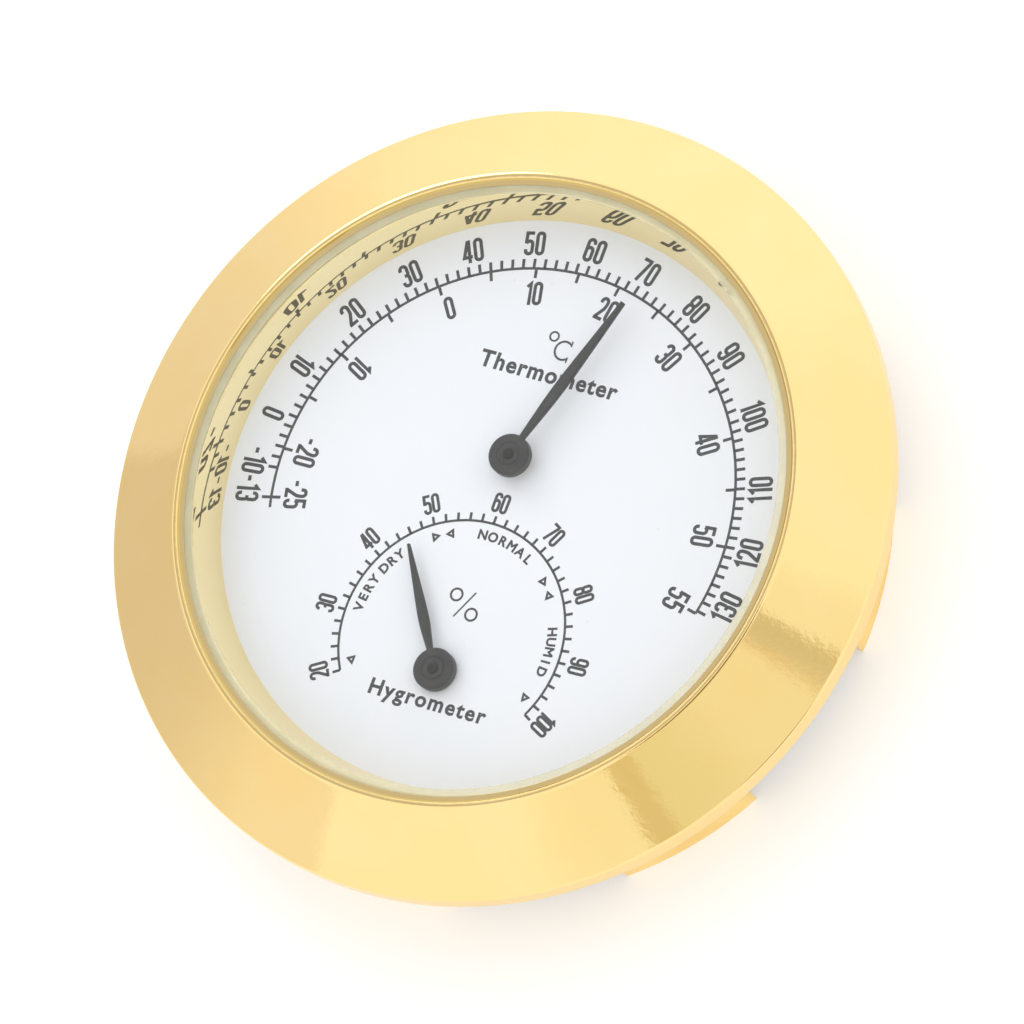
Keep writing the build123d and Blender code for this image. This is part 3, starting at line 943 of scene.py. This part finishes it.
def room():
    """White room with a few toned areas, for the metal to reflect."""
    world = bpy.data.worlds.new("studio")
    bpy.context.scene.world = world
    world.use_nodes = True
    nodes, links = world.node_tree.nodes, world.node_tree.links
    background = nodes["Background"]
    background.inputs["Strength"].default_value = WHITE_ROOM
    way = nodes.new("ShaderNodeTexCoord").outputs["Generated"]
    light = None
    for direction, clear, full, tone in TONED_AREAS:
        dot = nodes.new("ShaderNodeVectorMath")
        dot.operation = "DOT_PRODUCT"
        links.new(way, dot.inputs[0])
        dot.inputs[1].default_value = Vector(direction).normalized()
        fade = nodes.new("ShaderNodeMapRange")
        fade.interpolation_type = "SMOOTHSTEP"
        fade.inputs["From Min"].default_value = math.cos(math.radians(clear))
        fade.inputs["From Max"].default_value = math.cos(math.radians(full))
        links.new(dot.outputs["Value"], fade.inputs["Value"])
        blend = nodes.new("ShaderNodeMix")
        blend.data_type = "RGBA"
        blend.blend_type = "MULTIPLY"
        links.new(fade.outputs["Result"], blend.inputs[0])
        blend.inputs[6].default_value = (1, 1, 1, 1)
        if light is not None:
            links.new(light, blend.inputs[6])
        blend.inputs[7].default_value = (*tone, 1)
        light = blend.outputs[2]
    links.new(light, background.inputs["Color"])


def softbox(name, place, size, power):
    """Round area light that faces the object."""
    light = bpy.data.lights.new(name, "AREA")
    light.shape = "DISK"
    light.size = size
    light.energy = power
    lamp = bpy.data.objects.new(name, light)
    lamp.location = place
    lamp.rotation_mode = "QUATERNION"
    lamp.rotation_quaternion = Vector(place).to_track_quat("Z", "Y")
    bpy.context.scene.collection.objects.link(lamp)


VIEW_RIGHT = Vector((0.8717, 0.3430, -0.3499))
VIEW_UP = Vector((-0.2375, 0.9204, 0.3104))
VIEW_BACK = Vector((0.4286, -0.1875, 0.8838))
VIEW_DISTANCE = 1.0
VIEW_SLIDE_RIGHT, VIEW_SLIDE_UP = 0.976 * MM, -0.645 * MM
VIEW_HEIGHT = 10.82 * MM
VIEW_LENS, VIEW_SENSOR = 406.2, 36.0


def camera():
    """Camera at the photo's angle, far off with a long lens."""
    data = bpy.data.cameras.new("camera")
    data.lens = VIEW_LENS
    data.sensor_width = VIEW_SENSOR
    data.clip_start, data.clip_end = 0.01, 20.0
    holder = bpy.data.objects.new("camera", data)
    aim = Vector((0, 0, VIEW_HEIGHT)) + VIEW_RIGHT * VIEW_SLIDE_RIGHT + VIEW_UP * VIEW_SLIDE_UP
    turn = Matrix((VIEW_RIGHT, VIEW_UP, VIEW_BACK)).transposed()
    holder.matrix_world = Matrix.Translation(aim + VIEW_BACK * VIEW_DISTANCE) @ turn.to_4x4()
    bpy.context.scene.collection.objects.link(holder)
    bpy.context.scene.camera = holder


bezel()
lens()
gasket()
reflector()
cad_looks()
thermometer_scale()
thermometer_numbers()
thermometer_words()
hygrometer_scale()
hygrometer_numbers()
hygrometer_words()
pointer("thermometer", T_READING, T_BLADE)
pointer("hygrometer", H_READING, H_BLADE)
floor()
room()
softbox("key", KEY_PLACE, KEY_SIZE, KEY_POWER)
camera()
bpy.context.scene.view_settings.view_transform = "Standard"
